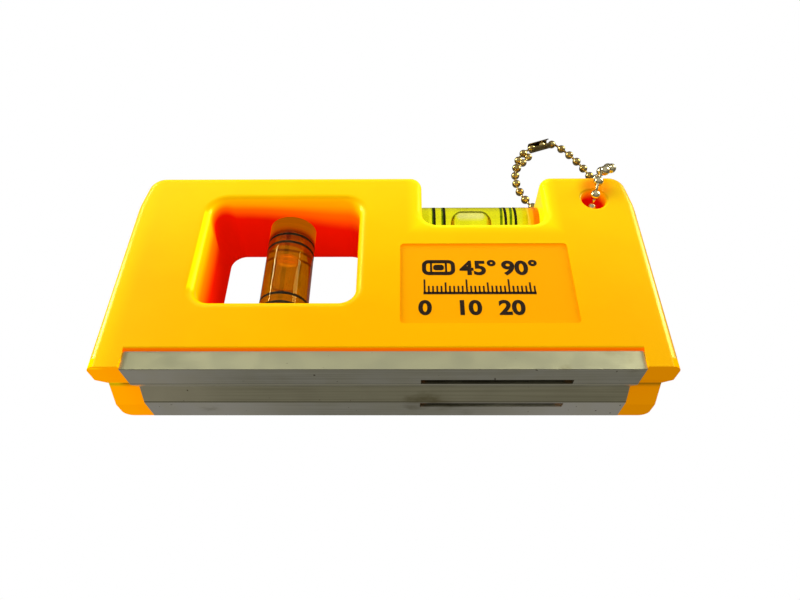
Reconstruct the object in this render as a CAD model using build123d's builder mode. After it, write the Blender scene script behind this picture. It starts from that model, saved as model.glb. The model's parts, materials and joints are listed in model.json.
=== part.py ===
from build123d import *

import os
from math import cos, hypot, pi, radians, sin, tan

# Pocket spirit level, lying on its rear face: X runs along the tool, Y from the working base
# up to the top edge, Z out of the front face. The origin is under the middle of the body, on
# the surface that it lies on. All sizes are in millimetres.

# ---------------------------------------------------------------- body
length = 130.0
height = 59.0
thickness = 25.0
wall = 2.0
edge_round = 2.3  # front and rear rims of the outline and of the window
end_run = 1.6  # how far the sloping ends lean in at the top
end_rise = 10.5
end_round = 4.5
end_round_low = 20.0

# ---------------------------------------------------------------- window for the plumb vial
window_left = 19.8  # from the left end
window_below = 18.1  # from the base
window_above = 9.3  # from the top edge
window_round = 4.0
centre_post = 16.25  # between the window and the notch

# ---------------------------------------------------------------- notch for the level vial
notch_width = 31.75
notch_depth = 16.7
notch_floor_round = 4.0
notch_lip_round = 3.0
right_shoulder = 23.8  # from the notch to the right end

# ---------------------------------------------------------------- chain hole
hole_radius = 3.15
hole_inset = 10.55  # from the right end
hole_drop = 8.9  # from the top edge
hole_edge_round = 0.8
lug_margin = 2.0  # solid plastic around the hole
relief_width = 4.6  # groove in the rear face that the chain leaves by
relief_depth = 3.2

# ---------------------------------------------------------------- label panel
label_width = 41.2
label_right = 20.0  # from the right end
label_below = 11.45  # from the base
label_margin = 7.35  # under the notch floor
label_depth = 0.5
label_round = 1.0

# ---------------------------------------------------------------- aluminium base channel
channel_overhang = 7.55  # plastic beyond each end of the channel
channel_inset = 0.6  # leg faces below the plastic faces
channel_wall = 1.2
leg_height = 4.5
lip_reach = 0.7
lip_height = 1.2
groove_half_width = 4.6
groove_depth = 1.85
end_setback = 0.3  # plastic ends above the metal rails
end_groove_half_width = 6.3
recess_round = 0.9
slide_gap = 0.1  # plastic to channel, all round

# ---------------------------------------------------------------- magnet and pole plates
magnet_inset = 39.4  # middle of the magnet from the right end
slot_length = 34.2
slot_width = 1.9
slot_offset = 5.95  # each side of mid thickness
plate_length = 31.2
plate_wall = 1.2
plate_setback = 0.7  # plate edges inside the slots
plate_height = 9.1
magnet_height = 6.0
magnet_end_gap = 0.4  # magnet shorter than the plates at each end
pocket_gap = 0.05

# ---------------------------------------------------------------- vials
vial_radius = 6.25
vial_bore = 4.8
closed_end = 5.5
plug_length = 5.0
plug_recess = 2.6
ring_near = 8.25  # from the middle of the vial
ring_far = 10.95
ring_width = 0.5
ring_depth = 0.15
level_drop = 8.7  # vial axis below the top edge
level_seat_left = 5.57  # how far the vial reaches into the left wall of the notch
level_seat_right = 2.68
plumb_seat_low = 5.2
plumb_seat_high = 3.2
seat_gap = 0.05
bond_thickness = 0.8  # adhesive between a vial's closed end and its pocket
bond_radius = 5.0
bubble_radius = 2.5
level_bubble_length = 11.2
plumb_bubble_length = 12.0
level_bubble_shift = 0.8  # rest place from the middle of the vial, towards the plug
plumb_bubble_shift = -0.3
bubble_gap = 0.3
fill_gap = 0.02

# ---------------------------------------------------------------- joints between the shells
pin_radius = 1.5
pin_height = 2.8
pin_gap = 0.1
socket_extra = 0.4
boss_radius = 3.2
pin_inset = 10.0  # pins from the left and right ends
foot_height = 8.0  # solid plastic above the base

# ---------------------------------------------------------------- ball chain
bead_radius = 1.25
bead_pitch = 3.45
link_radius = 0.4
coupling_length = 7.0
coupling_wall = 0.3
coupling_gap = 0.08
coupling_opening = 1.5  # slit along the coupling's top
tail_beads = 3
tail_start = (45.9, 62.6, bead_radius + 0.05)
tail_turn = 232.0

# ---------------------------------------------------------------- places worked out from the above
base_y = -height / 2
top_y = height / 2
right_x = length / 2
left_x = -right_x
mid_z = thickness / 2
plastic_y = base_y + end_setback

notch_right = right_x - right_shoulder
notch_left = notch_right - notch_width
notch_floor = top_y - notch_depth
window_west = left_x + window_left
window_east = notch_left - centre_post
window_x = (window_west + window_east) / 2
window_south = base_y + window_below
window_north = top_y - window_above
window_y = (window_south + window_north) / 2
hole_x = right_x - hole_inset
hole_y = top_y - hole_drop
magnet_x = right_x - magnet_inset

channel_length = length - 2 * channel_overhang
channel_half = thickness / 2 - channel_inset
leg_inner = channel_half - channel_wall
groove_slope = groove_depth / groove_half_width
groove_wall = channel_wall * hypot(1, groove_slope)  # channel wall measured along Y in the groove
inner_apex = groove_depth + groove_wall
inner_half_width = (inner_apex - channel_wall) / groove_slope
plate_offset = slot_offset - plate_wall / 2
magnet_half = plate_offset
magnet_bottom = inner_apex + 2 * slide_gap
pocket_top = plate_setback + plate_height + pocket_gap

level_length = notch_width + level_seat_left + level_seat_right
level_x = notch_left - level_seat_left + level_length / 2
level_y = top_y - level_drop
plumb_length = window_north - window_south + plumb_seat_low + plumb_seat_high
plumb_y = window_south - plumb_seat_low + plumb_length / 2
bubble_rise = vial_bore - bubble_gap - bubble_radius
pocket_radius = vial_radius + seat_gap

# each vial's own frame: z along the vial towards its plug, x up to where the bubble floats
level_frame = Plane(origin=(level_x, level_y, mid_z), x_dir=(0, 0, 1), z_dir=(-1, 0, 0))
plumb_frame = Plane(origin=(window_x, plumb_y, mid_z), x_dir=(0, 0, 1), z_dir=(0, 1, 0))

pin_places = [
    (left_x + pin_inset, base_y + foot_height + boss_radius + wall),
    (left_x + pin_inset, window_north - boss_radius),
    ((window_east + notch_left) / 2, window_y),
    ((window_x + window_east) / 2 + boss_radius, (base_y + foot_height + window_south - wall) / 2),
    (right_x - pin_inset, base_y + foot_height + boss_radius + wall),
    (right_x - pin_inset, hole_y - hole_radius - lug_margin - 2 * boss_radius),
]

FROM_LOW_SIDE = (Align.CENTER, Align.MIN)
FROM_LOW_END = (Align.CENTER, Align.CENTER, Align.MIN)

os.makedirs("parts", exist_ok=True)


def write(part, name):
    """Labels a finished piece and writes it as one STEP file."""
    part.label = name
    export_step(part, f"parts/{name}.step")


# ---------------------------------------------------------------- the two moulded shells
def corner(sketch, x, y):
    """The sketch's vertex at a place."""
    return sketch.vertices().sort_by_distance((x, y, 0))[0]


def body_outline():
    """The side view of the body, with its sloping ends and the notch in the top edge."""
    slope_y = top_y - end_rise
    with BuildSketch() as sketch:
        with BuildLine():
            Polyline(
                (left_x, plastic_y),
                (right_x, plastic_y),
                (right_x, slope_y),
                (right_x - end_run, top_y),
                (notch_right, top_y),
                (notch_right, notch_floor),
                (notch_left, notch_floor),
                (notch_left, top_y),
                (left_x + end_run, top_y),
                (left_x, slope_y),
                close=True,
            )
        make_face()
        for side in (1, -1):
            slope_ends = [(side * right_x, slope_y), (side * (right_x - end_run), top_y)]
            for (x, y), turn_radius in zip(slope_ends, (end_round_low, end_round)):
                fillet(corner(sketch, x, y), turn_radius)
        fillet([corner(sketch, x, top_y) for x in (notch_left, notch_right)], notch_lip_round)
        fillet([corner(sketch, x, notch_floor) for x in (notch_left, notch_right)], notch_floor_round)
    return sketch.sketch


def cavity_outline(outline):
    """Where the shells are hollow: inside the wall, around everything that they carry."""
    tunnel = (window_east - window_west + 2 * wall, window_north - window_south + 2 * wall)
    seat = pocket_radius + wall
    low_seat_y = window_south - plumb_seat_low - bond_thickness - wall
    left_seat_x = notch_left - level_seat_left - wall
    lug_y = hole_y - hole_radius - lug_margin
    with BuildSketch() as sketch:
        offset(outline, amount=-wall, kind=Kind.INTERSECTION)
        with Locations((window_x, window_y)):
            Rectangle(*tunnel, mode=Mode.SUBTRACT)
        with Locations((window_x, low_seat_y)):
            Rectangle(2 * seat, window_south - low_seat_y, align=FROM_LOW_SIDE, mode=Mode.SUBTRACT)
        with Locations((window_x, window_north)):
            Rectangle(2 * seat, window_above, align=FROM_LOW_SIDE, mode=Mode.SUBTRACT)
        with Locations((left_seat_x, level_y - seat)):
            Rectangle(notch_left - left_seat_x, height, align=Align.MIN, mode=Mode.SUBTRACT)
        with Locations((notch_right, level_y - seat)):
            Rectangle(
                level_seat_right + bond_thickness + wall, height, align=Align.MIN, mode=Mode.SUBTRACT
            )
        with Locations((notch_right, lug_y)):
            Rectangle(right_shoulder, height, align=Align.MIN, mode=Mode.SUBTRACT)
        with Locations((0, base_y)):
            Rectangle(length, foot_height, align=FROM_LOW_SIDE, mode=Mode.SUBTRACT)
        with Locations((magnet_x, base_y)):
            Rectangle(
                plate_length + 2 * (pocket_gap + wall),
                pocket_top + wall,
                align=FROM_LOW_SIDE,
                mode=Mode.SUBTRACT,
            )
        with Locations(*pin_places):
            Circle(boss_radius, mode=Mode.SUBTRACT)
    return sketch.sketch


def shell_half(side, outline, cavity):
    """One moulded shell from the parting plane outwards: side is 1 in front and -1 behind."""
    outer_z = mid_z + side * thickness / 2
    with BuildPart() as shell:
        with BuildSketch(Plane.XY.offset(mid_z)):
            add(outline)
        extrude(amount=side * thickness / 2)
        with BuildSketch(Plane.XY.offset(mid_z)):
            with Locations((window_x, window_y)):
                RectangleRounded(window_east - window_west, window_north - window_south, window_round)
        extrude(amount=side * thickness / 2, mode=Mode.SUBTRACT)
        face = shell.faces().sort_by(Axis.Z)[-1 if side > 0 else 0]
        fillet(face.edges().filter_by(lambda e: e.center().Y > plastic_y + edge_round), edge_round)

        with BuildSketch(Plane.XY.offset(mid_z)):
            with Locations((hole_x, hole_y)):
                Circle(hole_radius)
        extrude(amount=side * thickness / 2, mode=Mode.SUBTRACT)
        rim = shell.edges().filter_by(GeomType.CIRCLE).sort_by_distance((hole_x, hole_y, outer_z))[0]
        fillet(rim, hole_edge_round)

        # hollow inside, then the pockets for the vials
        with BuildSketch(Plane.XY.offset(mid_z)):
            add(cavity)
        extrude(amount=side * (thickness / 2 - wall), mode=Mode.SUBTRACT)
        for frame, vial_length in ((level_frame, level_length), (plumb_frame, plumb_length)):
            low_end = -vial_length / 2 - bond_thickness
            with BuildSketch(frame.offset(low_end)):
                Circle(pocket_radius)
            extrude(amount=vial_length / 2 + seat_gap - low_end, mode=Mode.SUBTRACT)

        # the foot that the aluminium channel clips over
        foot_y = base_y + channel_wall + slide_gap
        lip_y = base_y + leg_height - lip_height - slide_gap
        recess_y = base_y + leg_height + slide_gap
        apex_y = base_y + inner_apex + slide_gap * hypot(1, groove_slope)
        foot_half = leg_inner - slide_gap
        neck_half = leg_inner - lip_reach - slide_gap
        with BuildSketch(Plane.YZ):
            with BuildLine():
                Polyline(
                    (base_y - wall, mid_z),
                    (apex_y, mid_z),
                    (foot_y, mid_z + side * inner_half_width),
                    (foot_y, mid_z + side * foot_half),
                    (lip_y, mid_z + side * foot_half),
                    (lip_y, mid_z + side * neck_half),
                    (recess_y, mid_z + side * neck_half),
                    (recess_y, mid_z + side * thickness),
                    (base_y - wall, mid_z + side * thickness),
                    close=True,
                )
            make_face()
        extrude(amount=channel_length / 2 + slide_gap, both=True, mode=Mode.SUBTRACT)
        recess_edge = shell.edges().filter_by(Axis.X).sort_by_distance((0, recess_y, outer_z))[0]
        fillet(recess_edge, recess_round)

        # wider groove in the plastic ends
        end_apex = plastic_y + end_groove_half_width * groove_slope
        with BuildSketch(Plane.YZ):
            with BuildLine():
                Polyline(
                    (base_y - wall, mid_z),
                    (end_apex, mid_z),
                    (plastic_y, mid_z + side * end_groove_half_width),
                    (base_y - wall, mid_z + side * end_groove_half_width),
                    close=True,
                )
            make_face()
        extrude(amount=length / 2, both=True, mode=Mode.SUBTRACT)

        # pocket for the magnet and its plates, open at the base behind the slots
        plate_face = plate_offset + plate_wall + pocket_gap
        with BuildSketch(Plane.XY.offset(mid_z)):
            with Locations((magnet_x, base_y)):
                Rectangle(plate_length + 2 * pocket_gap, pocket_top, align=FROM_LOW_SIDE)
        extrude(amount=side * plate_face, mode=Mode.SUBTRACT)
        with BuildSketch(Plane.XY.offset(mid_z + side * (slot_offset - slot_width / 2))):
            with Locations((magnet_x, base_y)):
                Rectangle(slot_length, 2 * channel_wall, align=FROM_LOW_SIDE)
        extrude(amount=side * slot_width, mode=Mode.SUBTRACT)

        if side > 0:
            # label panel and the sockets for the rear shell's pins
            label_top = notch_floor - label_margin
            label_bottom = base_y + label_below
            with BuildSketch(Plane.XY.offset(outer_z)):
                with Locations((right_x - label_right - label_width / 2, (label_top + label_bottom) / 2)):
                    RectangleRounded(label_width, label_top - label_bottom, label_round)
            extrude(amount=-label_depth, mode=Mode.SUBTRACT)
            with BuildSketch(Plane.XY.offset(mid_z)):
                with Locations(*pin_places):
                    Circle(pin_radius + pin_gap)
            extrude(amount=pin_height + socket_extra, mode=Mode.SUBTRACT)
        else:
            # relief that lets the chain out past the rear face, and the pins
            with BuildSketch(Plane.XY.offset(outer_z)):
                with Locations((hole_x, hole_y)):
                    Rectangle(relief_width, 2 * hole_drop, align=FROM_LOW_SIDE)
            extrude(amount=relief_depth, mode=Mode.SUBTRACT)
            with BuildSketch(Plane.XY.offset(mid_z)):
                with Locations(*pin_places):
                    Circle(pin_radius)
            extrude(amount=pin_height)
    return shell.part


outline = body_outline()
cavity = cavity_outline(outline)
write(shell_half(1, outline, cavity), "front_shell")
write(shell_half(-1, outline, cavity), "rear_shell")


# ---------------------------------------------------------------- aluminium base channel
with BuildPart() as base_channel:
    lip_inner = leg_inner - lip_reach
    half_profile = [
        (groove_depth, 0),
        (0, groove_half_width),
        (0, channel_half),
        (leg_height, channel_half),
        (leg_height, lip_inner),
        (leg_height - lip_height, lip_inner),
        (leg_height - lip_height, leg_inner),
        (channel_wall, leg_inner),
        (channel_wall, inner_half_width),
        (inner_apex, 0),
    ]
    front_half = [(base_y + y, mid_z + z) for y, z in half_profile]
    rear_half = [(base_y + y, mid_z - z) for y, z in reversed(half_profile[1:-1])]
    with BuildSketch(Plane.YZ):
        with BuildLine():
            Polyline(*front_half, *rear_half, close=True)
        make_face()
    extrude(amount=channel_length / 2, both=True)
    with BuildSketch(Plane.XZ.offset(-base_y)):
        with Locations((magnet_x, mid_z + slot_offset), (magnet_x, mid_z - slot_offset)):
            Rectangle(slot_length, slot_width)
    extrude(amount=-2 * channel_wall, mode=Mode.SUBTRACT)
write(base_channel.part, "base_channel")


# ---------------------------------------------------------------- magnet between two steel pole plates
with BuildPart() as magnet_bar:
    with BuildSketch(Plane.XY.offset(mid_z - magnet_half)):
        with Locations((magnet_x, base_y + magnet_bottom)):
            Rectangle(plate_length - 2 * magnet_end_gap, magnet_height, align=FROM_LOW_SIDE)
    extrude(amount=2 * magnet_half)
write(magnet_bar.part, "magnet_bar")

for plate_name, side in (("pole_plate_front", 1), ("pole_plate_rear", -1)):
    with BuildPart() as pole_plate:
        with BuildSketch(Plane.XY.offset(mid_z + side * plate_offset)):
            with Locations((magnet_x, base_y + plate_setback)):
                Rectangle(plate_length, plate_height, align=FROM_LOW_SIDE)
        extrude(amount=side * plate_wall)
    write(pole_plate.part, plate_name)


# ---------------------------------------------------------------- vials
def make_vial(name, frame, vial_length, bubble_length, bubble_shift):
    """A vial's tube, plug, liquid, bubble, lines and bond, each as a piece of its own."""
    half = vial_length / 2
    chamber_low = closed_end - half
    chamber_high = half - plug_recess - plug_length
    ring_places = [-ring_far, -ring_near, ring_near, ring_far]

    with BuildPart() as lines:
        with Locations(*[frame.offset(place) for place in ring_places]):
            Cylinder(vial_radius, ring_width)
            Cylinder(vial_radius - ring_depth, ring_width, mode=Mode.SUBTRACT)
    with BuildPart() as tube:
        with Locations(frame):
            Cylinder(vial_radius, vial_length)
        with Locations(frame.offset(chamber_low)):
            Cylinder(vial_bore, vial_length, align=FROM_LOW_END, mode=Mode.SUBTRACT)
        add(lines.part, mode=Mode.SUBTRACT)
    with BuildPart() as plug:
        with Locations(frame.offset(chamber_high)):
            Cylinder(vial_bore - fill_gap, plug_length, align=FROM_LOW_END)
    with BuildPart() as liquid:
        chamber_length = chamber_high - chamber_low
        with Locations(frame.offset((chamber_low + chamber_high) / 2)):
            Cylinder(vial_bore - fill_gap, chamber_length - 2 * fill_gap)
            with Locations((bubble_rise, 0, 0)):
                Cylinder(bubble_radius + bubble_gap, chamber_length, mode=Mode.SUBTRACT)
    with BuildPart() as bubble:
        with Locations(frame.offset(bubble_shift)):
            with Locations((bubble_rise, 0, 0)):
                Cylinder(bubble_radius, bubble_length)
        fillet(bubble.edges().filter_by(GeomType.CIRCLE), 0.9 * bubble_radius)
    with BuildPart() as bond:
        with Locations(frame.offset(-half - bond_thickness)):
            Cylinder(bond_radius, bond_thickness, align=FROM_LOW_END)

    write(tube.part, f"{name}_tube")
    write(plug.part, f"{name}_plug")
    write(liquid.part, f"{name}_liquid")
    write(bubble.part, f"{name}_bubble")
    write(lines.part, f"{name}_lines")
    write(bond.part, f"{name}_bond")

    lowest = chamber_low + bubble_gap + bubble_length / 2 - bubble_shift
    highest = chamber_high - bubble_gap - bubble_length / 2 - bubble_shift
    print(f"{name}: bubble travel {lowest:.2f} to {highest:.2f} mm towards the plug")


make_vial("level_vial", level_frame, level_length, level_bubble_length, level_bubble_shift)
make_vial("plumb_vial", plumb_frame, plumb_length, plumb_bubble_length, plumb_bubble_shift)


# ---------------------------------------------------------------- ball chain
# The loop runs up through the hole, over the top edge, down behind the body, round in an arch
# on the surface, and back under the rear face into the hole.
chain_route = [
    (54.45, 20.6, 12.6),
    (54.45, 20.0, 17.5),
    (54.5, 20.3, 21.8),
    (54.9, 21.6, 25.2),
    (55.6, 24.6, 27.0),
    (57.2, 27.5, 28.6),
    (60.2, 29.3, 27.4),
    (60.6, 32.4, 24.9),
    (59.7, 34.7, 21.7),
    (59.4, 35.4, 17.5),
    (60.4, 36.2, 12.0),
    (62.2, 39.2, 6.0),
    (65.0, 44.0, 1.9),
    (66.0, 49.0, 1.3),
    (64.8, 53.5, 1.3),
    (61.6, 60.6, 1.3),
    (56.9, 67.4, 1.3),
    (53.6, 68.9, 1.8),
    (46.6, 66.2, 1.8),
    (43.0, 62.8, 1.3),
    (41.3, 57.6, 1.3),
    (40.4, 52.4, 1.3),
    (41.0, 47.0, 1.3),
    (43.6, 41.2, 1.3),
    (48.4, 35.2, 1.3),
    (52.6, 30.4, 1.3),
    (54.4, 25.2, 1.3),
    (54.45, 20.9, 3.4),
    (54.45, 20.6, 7.9),
    (54.45, 20.6, 12.5),
]


def bend_radii(route):
    """For each corner of the route, the arc that takes 0.45 of the shorter run beside it."""
    radii = []
    for before, here, after in zip(route, route[1:], route[2:]):
        run_in = Vector(*here) - Vector(*before)
        run_out = Vector(*after) - Vector(*here)
        turn = run_in.get_angle(run_out)
        shorter = min(run_in.length, run_out.length)
        radii.append(0.45 * shorter / tan(radians(turn / 2)))
    return radii


chain_radii = bend_radii(chain_route)
with BuildPart() as ball_chain:
    with BuildLine() as chain_line:
        FilletPolyline(*chain_route, radius=chain_radii)
    with BuildSketch(Plane(origin=chain_line.line @ 0, z_dir=chain_line.line % 0)):
        Circle(bead_radius)
    sweep()
write(ball_chain.part, "ball_chain")

print("chain radii", [round(radius, 1) for radius in chain_radii])
chain_length = sum(edge.length for edge in chain_line.edges())
section_volume = pi * bead_radius**2 * chain_length
print(f"chain length {chain_length:.1f}, volume {ball_chain.part.volume:.1f}, expected {section_volume:.1f}")


# ---------------------------------------------------------------- coupling and spare beads
coupling_start = Vector(*chain_route[17])
coupling_end = Vector(*chain_route[18])
coupling_way = (coupling_end - coupling_start).normalized()
coupling_middle = (coupling_start + coupling_end) * 0.5
coupling_plane = Plane(
    origin=coupling_middle - coupling_way * (coupling_length / 2), x_dir=(0, 0, 1), z_dir=coupling_way
)
with BuildPart() as chain_coupling:
    inner = bead_radius + coupling_gap
    with BuildSketch(coupling_plane):
        Circle(inner + coupling_wall)
        Circle(inner, mode=Mode.SUBTRACT)
        with Locations((inner, 0)):
            Rectangle(2 * coupling_wall + inner, coupling_opening, mode=Mode.SUBTRACT)
    extrude(amount=coupling_length)
write(chain_coupling.part, "chain_coupling")

tail_plane = Plane(origin=tail_start, x_dir=(cos(radians(tail_turn)), sin(radians(tail_turn)), 0))
tail_length = (tail_beads - 1) * bead_pitch
with BuildPart() as chain_tail:
    with BuildSketch(tail_plane):
        with Locations(*[(n * bead_pitch, 0) for n in range(tail_beads)]):
            Circle(bead_radius)
        Rectangle(tail_length, 2 * link_radius, align=(Align.MIN, Align.CENTER))
        Rectangle(3 * tail_length, bead_pitch, align=(Align.CENTER, Align.MAX), mode=Mode.SUBTRACT)
    revolve(axis=Axis(tail_plane.origin, tail_plane.x_dir))
write(chain_tail.part, "chain_tail")
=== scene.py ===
"""Pocket spirit level: finishes, chain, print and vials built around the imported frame."""

import json
import math

import bpy
from mathutils import Matrix, Vector

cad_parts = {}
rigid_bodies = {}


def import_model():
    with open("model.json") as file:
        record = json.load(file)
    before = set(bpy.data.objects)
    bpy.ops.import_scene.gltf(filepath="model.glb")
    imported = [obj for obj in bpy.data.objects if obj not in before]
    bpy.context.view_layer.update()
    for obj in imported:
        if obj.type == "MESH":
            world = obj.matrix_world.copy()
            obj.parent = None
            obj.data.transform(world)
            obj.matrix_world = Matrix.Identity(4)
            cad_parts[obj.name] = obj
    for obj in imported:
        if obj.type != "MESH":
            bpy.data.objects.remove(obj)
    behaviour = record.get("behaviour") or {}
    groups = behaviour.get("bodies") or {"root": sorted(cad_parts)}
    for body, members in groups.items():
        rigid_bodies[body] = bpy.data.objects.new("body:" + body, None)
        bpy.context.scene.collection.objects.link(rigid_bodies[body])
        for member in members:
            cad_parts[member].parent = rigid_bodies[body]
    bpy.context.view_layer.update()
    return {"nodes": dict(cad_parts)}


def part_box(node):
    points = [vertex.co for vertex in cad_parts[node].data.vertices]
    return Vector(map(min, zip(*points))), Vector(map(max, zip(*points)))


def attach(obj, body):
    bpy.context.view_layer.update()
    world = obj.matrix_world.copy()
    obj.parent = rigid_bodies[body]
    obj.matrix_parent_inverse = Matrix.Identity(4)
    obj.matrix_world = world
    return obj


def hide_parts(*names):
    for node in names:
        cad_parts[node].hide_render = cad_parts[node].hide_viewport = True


bl_info = {
    "name": "Pocket Spirit Level",
    "version": (1, 0, 0),
    "blender": (4, 5, 0),
    "location": "3D View > Sidebar > Level",
    "description": "Finishes a pocket spirit level: shells, channel, vials, ball chain and stage",
    "category": "Object",
}

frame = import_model()
MM = 0.001

FRONT_LOW, FRONT_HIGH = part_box("front_shell")
CHANNEL_LOW, CHANNEL_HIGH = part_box("base_channel")
BASE_Y = CHANNEL_LOW.y
TOP_Y = FRONT_HIGH.y
FRONT_Z = FRONT_HIGH.z
MID_Z = FRONT_Z / 2
LEVEL_LOW, LEVEL_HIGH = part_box("level_vial_tube")
PLUMB_LOW, PLUMB_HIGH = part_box("plumb_vial_tube")
LEVEL_CENTRE = (LEVEL_LOW + LEVEL_HIGH) / 2
PLUMB_CENTRE = (PLUMB_LOW + PLUMB_HIGH) / 2
VIAL_RADIUS = (LEVEL_HIGH.y - LEVEL_LOW.y) / 2
VIAL_LENGTH = LEVEL_HIGH.x - LEVEL_LOW.x
PLUG_LOW, PLUG_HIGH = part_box("plumb_vial_plug")
BORE_RADIUS = (PLUG_HIGH.x - PLUG_LOW.x) / 2 + 0.02 * MM
LIQUID_LOW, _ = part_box("plumb_vial_liquid")
CLOSED_END = LIQUID_LOW.y - PLUMB_LOW.y
# how far each bubble bends light, and the painted reflection that tints its ends
AIR = {
    "level_vial": (0.86, (0.95, 0.55, 0.20, 1.0)),
    "plumb_vial": (0.80, (1.0, 0.80, 0.40, 1.0)),
}
BUBBLE_RADIUS = {"level_vial": 3.0 * MM, "plumb_vial": 2.9 * MM}
# between a bubble and the top of its bore, and between a tube and its CAD node's outside
BUBBLE_GAP = 0.12 * MM
TUBE_GAP = 0.03 * MM
ACRYLIC = (0.985, 0.99, 0.9, 1.0)
NO_REFRACTION = {
    "IOR": 1.0, "Roughness": 0.0, "Specular_IOR_Level": 0.0, "Transmission_Weight": 1.0
}
WINDOW_Y = BASE_Y + 33.9 * MM
WINDOW_LEFT = FRONT_LOW.x + 19.8 * MM
HOLE = (FRONT_HIGH.x - 10.55 * MM, TOP_Y - 8.9 * MM)
NOTCH_HALF = 15.875 * MM
NOTCH_X = FRONT_HIGH.x - 23.8 * MM - NOTCH_HALF
NOTCH_FLOOR = TOP_Y - 16.7 * MM
# how much wider than the CAD's each printed ring is drawn
LINE_STRETCH = 1.4
# the pressed label's middle and half size, x and y in turn
LABEL_ZONE = (0.02425, 0.0212, -0.00708, 0.0126)
# the pressed label's upper edge, and the plane that it is printed on
LABEL_TOP = 5.45 * MM
LABEL_Z = FRONT_Z - 0.5 * MM
PRINT_THICKNESS = 0.05 * MM
# the type size that prints a figure of unit height
FONT_SIZE = 1.38
# the vial sign's middle, then where the millimetre scale starts, its line and its last tick
SIGN = (13.1 * MM, -1.7 * MM)
SCALE_START = 9.6 * MM
SCALE_Y = -9.3 * MM
SCALE_TICKS = 26

# painted light and shade in the moulded plastic's colour: a painted highlight at the left end and
# round the notch, painted shade of the chain over the hole and in the label's recess
LIT_END = (0.95, 0.585, 0.0, 1.0)
NOTCH_HIGHLIGHT = (1.0, 0.70, 0.0, 1.0)
CHAIN_SHADE_OVER_HOLE = (0.92, 0.27, 0.0, 1.0)
LABEL_RECESS_SHADE = (0.93, 0.36, 0.0, 1.0)
# and the colours of the painted light that it glows with there
GLOW_ORANGE = (1.0, 0.30, 0.0, 1.0)
GLOW_YELLOW = (1.0, 0.85, 0.0, 1.0)
GLOW_UNDERSIDE = (1.0, 0.285, 0.0, 1.0)
GLOW_POCKET = (1.0, 0.14, 0.0, 1.0)
GLOW_RECESS = (0.52, 0.003, 0.0, 1.0)

# the chain's route, from the middle of the hole over the top edge and back under the rear face
CHAIN_ROUTE = [
    (0.05445, 0.0206, 0.0126),
    (0.05445, 0.02, 0.0175),
    (0.0545, 0.0203, 0.0218),
    (0.0549, 0.0216, 0.0252),
    (0.0556, 0.0246, 0.027),
    (0.0572, 0.0275, 0.0286),
    (0.0602, 0.0293, 0.0274),
    (0.0606, 0.0324, 0.0249),
    (0.0597, 0.0347, 0.0217),
    (0.0594, 0.0354, 0.0175),
    (0.0604, 0.0362, 0.012),
    (0.0622, 0.0392, 0.006),
    (0.065, 0.044, 0.0019),
    (0.066, 0.049, 0.0013),
    (0.0648, 0.0535, 0.0013),
    (0.0616, 0.0606, 0.0013),
    (0.0569, 0.0674, 0.0013),
    (0.0536, 0.0689, 0.0018),
    (0.0466, 0.0662, 0.0018),
    (0.043, 0.0628, 0.0013),
    (0.0413, 0.0576, 0.0013),
    (0.0404, 0.0524, 0.0013),
    (0.041, 0.047, 0.0013),
    (0.0436, 0.0412, 0.0013),
    (0.0484, 0.0352, 0.0013),
    (0.0526, 0.0304, 0.0013),
    (0.0544, 0.0252, 0.0013),
    (0.05445, 0.0209, 0.0034),
    (0.05445, 0.0206, 0.0079),
    (0.05445, 0.0206, 0.0125),
]
# the two points of the route that the coupling lies between, and its turn in degrees
COUPLING_SPAN = (17, 18)
COUPLING_TURN = -10.0

# where a painted shade or painted highlight line runs along the channel's edges, its half width,
# and how bright it is
CHANNEL_EDGE_SHADING = [
    (CHANNEL_HIGH.z - 0.16 * MM, 0.13 * MM, 0.40),
    (MID_Z + 5.0 * MM, 0.13 * MM, 0.38),
    (MID_Z + 4.72 * MM, 0.12 * MM, 0.95),
    (MID_Z - 4.42 * MM, 0.16 * MM, 0.38),
]

# name, direction from the object, distance, width and height in metres, power in watts,
# and which shading sees it: matt, gloss or all
STUDIO_LIGHTS = [
    ("left_window", (-0.80, 0.42, 0.40), 0.70, 0.6, 0.46, 2.5, "matt"),
    ("left_strip", (-0.78, 0.38, 0.30), 0.68, 0.12, 0.34, 2.3, "all"),
    ("right_window", (0.80, 0.45, 0.34), 0.70, 0.36, 0.42, 2.6, "all"),
    ("right_strip", (0.76, 0.44, 0.32), 0.68, 0.05, 0.34, 1.6, "all"),
    ("overhead", (-0.14, 0.86, 0.55), 0.19, 0.26, 0.08, 0.26, "matt"),
    ("left_gleam", (-0.75, 0.55, 0.37), 0.70, 0.40, 0.04, 0.9, "gloss"),
]

LIGHT_COLOUR = (1.0, 0.97, 0.66)
CAMERA_PLACE = (0.005015, -0.094257, 0.143277)
# the camera's heading, tilt and roll in degrees
CAMERA_TURNS = [(0.836, "Z"), (34.943, "X"), (-0.77, "Z")]


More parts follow.
